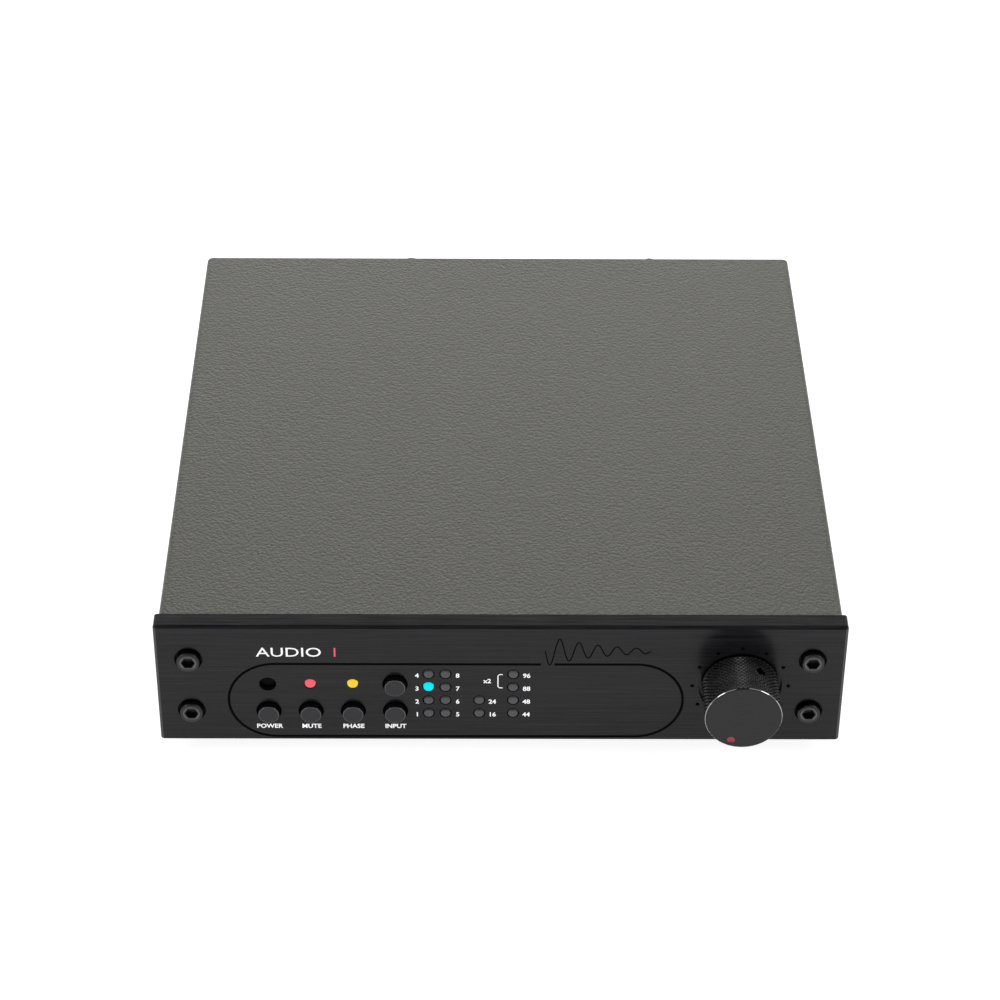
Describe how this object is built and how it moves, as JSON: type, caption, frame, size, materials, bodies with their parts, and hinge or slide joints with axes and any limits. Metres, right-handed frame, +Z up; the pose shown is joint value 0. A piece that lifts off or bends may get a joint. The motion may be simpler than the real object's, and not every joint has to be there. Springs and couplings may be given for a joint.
{
  "type": "desktop digital-to-analogue converter",
  "caption": "Compact, low metal hi-fi box with a thick black front panel, push buttons, status lights, a knurled volume knob, a plain grey cover and rear sockets.",
  "frame": {"origin": "centre of the bounding box, on the plane the rubber feet stand on", "axes": "+Z up, the front panel faces -Y, +X to the right of somebody facing the front panel"},
  "size_m": [0.2092, 0.2294, 0.0493],
  "materials": {
    "panel_black": "black anodised, brushed along its length",
    "knob_black": "black anodised, knurled side, fine turned face, polished front edge",
    "button_black": "black anodised, fine satin face",
    "screw_black": "black oxide",
    "steel_plain": "plain zinc-plated",
    "cover_grey": "fine-textured powder coat, greenish grey, satin",
    "case_grey": "fine-textured powder coat, greenish grey, satin",
    "rear_black": "smooth satin black powder coat",
    "rubber_black": "matt moulded",
    "window_black": "dark infrared-passing plastic",
    "light_off": "smoked diffusing plastic, unlit",
    "light_cyan": "lit light-emitting diode",
    "light_red": "lit light-emitting diode",
    "light_amber": "lit light-emitting diode",
    "plastic_black": "moulded, slightly glossy",
    "plastic_grey": "moulded",
    "nylon_white": "natural nylon",
    "brass_plain": "turned",
    "contact_gold": "gold-plated",
    "pin_nickel": "nickel-plated",
    "socket_nickel": "satin nickel-plated",
    "insert_white": "moulded",
    "insert_red": "moulded",
    "board_green": "green solder mask over glass-epoxy laminate",
    "component_black": "moulded epoxy",
    "capacitor_sleeve": "shrink sleeve",
    "heatsink_black": "black anodised extrusion",
    "core_iron": "varnished laminations",
    "winding_tape": "yellow winding tape",
    "cable_grey": "flat cable sheath",
    "wire_brown": "insulated wire",
    "fuse_glass": "clear glass tube"
  },
  "bodies": {
    "case": {"active_light": "light_cyan", "black_inserts": "plastic_black", "board_components": "component_black", "board_screws": "steel_plain", "case_screws": "screw_black", "chassis_base": "case_grey", "display_board": "board_green", "electrolytics": "capacitor_sleeve", "front_panel": "panel_black", "gearbox_housing": "plastic_black", "ground_post": "contact_gold", "heatsink": "heatsink_black", "inlet_housing": "plastic_black", "ir_window": "window_black", "light_leads": "steel_plain", "main_board": "board_green", "mains_wires": "wire_brown", "motor_can": "steel_plain", "mute_light": "light_red", "optical_housings": "plastic_black", "panel_nuts": "steel_plain", "panel_screws": "screw_black", "phono_barrels": "contact_gold", "phono_inserts_red": "insert_red", "phono_inserts_white": "insert_white", "polarity_light": "light_amber", "pot_housing": "steel_plain", "pot_nut": "steel_plain", "psu_board": "board_green", "rear_panel": "rear_black", "ribbon_cable": "cable_grey", "rubber_feet": "rubber_black", "socket_blocks": "plastic_black", "socket_pins": "pin_nickel", "standoffs": "brass_plain", "status_lights": "light_off", "switch_bodies": "plastic_black", "top_cover": "cover_grey", "transformer_core": "core_iron", "transformer_winding": "winding_tape", "trigger_jacks": "socket_nickel", "usb_shell": "socket_nickel", "xlr_latch": "socket_nickel", "xlr_shells": "socket_nickel"},
    "volume": {"volume_knob": "knob_black", "knob_set_screw": "screw_black", "pot_shaft": "steel_plain", "pot_wiper": "nylon_white", "shaft_gear": "nylon_white"},
    "idler": {"idler_gear": "nylon_white"},
    "pinion": {"motor_pinion": "brass_plain"},
    "power": {"power_button": "button_black"},
    "mute": {"mute_button": "button_black"},
    "polarity": {"polarity_button": "button_black"},
    "input_up": {"input_up_button": "button_black"},
    "input_down": {"input_down_button": "button_black"},
    "shutter_1": {"optical_shutter_1": "plastic_grey"},
    "shutter_2": {"optical_shutter_2": "plastic_grey"},
    "drawer": {"fuse_drawer": "plastic_black", "fuse": "fuse_glass"}
  },
  "joints": [
    {"name": "volume_turn", "type": "hinge", "parent": "case", "child": "volume", "pos_m": [0.07224, -0.09975, 0.02664], "axis": [0, 1, 0], "range_deg": [0, 300]},
    {"name": "idler_turn", "type": "hinge", "parent": "case", "child": "idler", "pos_m": [0.06024, -0.07075, 0.02664], "axis": [0, 1, 0], "range_deg": [-1200, 0]},
    {"name": "pinion_turn", "type": "hinge", "parent": "case", "child": "pinion", "pos_m": [0.07224, -0.07075, 0.02664], "axis": [0, 1, 0], "range_deg": [0, 4800]},
    {"name": "power_press", "type": "slide", "parent": "case", "child": "power", "axis": [0, 1, 0], "range_m": [0, 0.0008], "stiffness_N_per_m": 400},
    {"name": "mute_press", "type": "slide", "parent": "case", "child": "mute", "axis": [0, 1, 0], "range_m": [0, 0.0008], "stiffness_N_per_m": 400},
    {"name": "polarity_press", "type": "slide", "parent": "case", "child": "polarity", "axis": [0, 1, 0], "range_m": [0, 0.0008], "stiffness_N_per_m": 400},
    {"name": "input_up_press", "type": "slide", "parent": "case", "child": "input_up", "axis": [0, 1, 0], "range_m": [0, 0.0008], "stiffness_N_per_m": 400},
    {"name": "input_down_press", "type": "slide", "parent": "case", "child": "input_down", "axis": [0, 1, 0], "range_m": [0, 0.0008], "stiffness_N_per_m": 400},
    {"name": "shutter_1_swing", "type": "hinge", "parent": "case", "child": "shutter_1", "pos_m": [-0.0465, 0.10455, 0.0209], "axis": [-1, 0, 0], "range_deg": [0, 80], "stiffness_Nm_per_rad": 0.0005},
    {"name": "shutter_2_swing", "type": "hinge", "parent": "case", "child": "shutter_2", "pos_m": [-0.0465, 0.10455, 0.0359], "axis": [-1, 0, 0], "range_deg": [0, 80], "stiffness_Nm_per_rad": 0.0005},
    {"name": "drawer_slide", "type": "slide", "parent": "case", "child": "drawer", "axis": [0, 1, 0], "range_m": [0, 0.012]}
  ],
  "couplings": [
    {"joint": "idler_turn", "follows": "volume_turn", "ratio": -4},
    {"joint": "pinion_turn", "follows": "volume_turn", "ratio": 16}
  ]
}
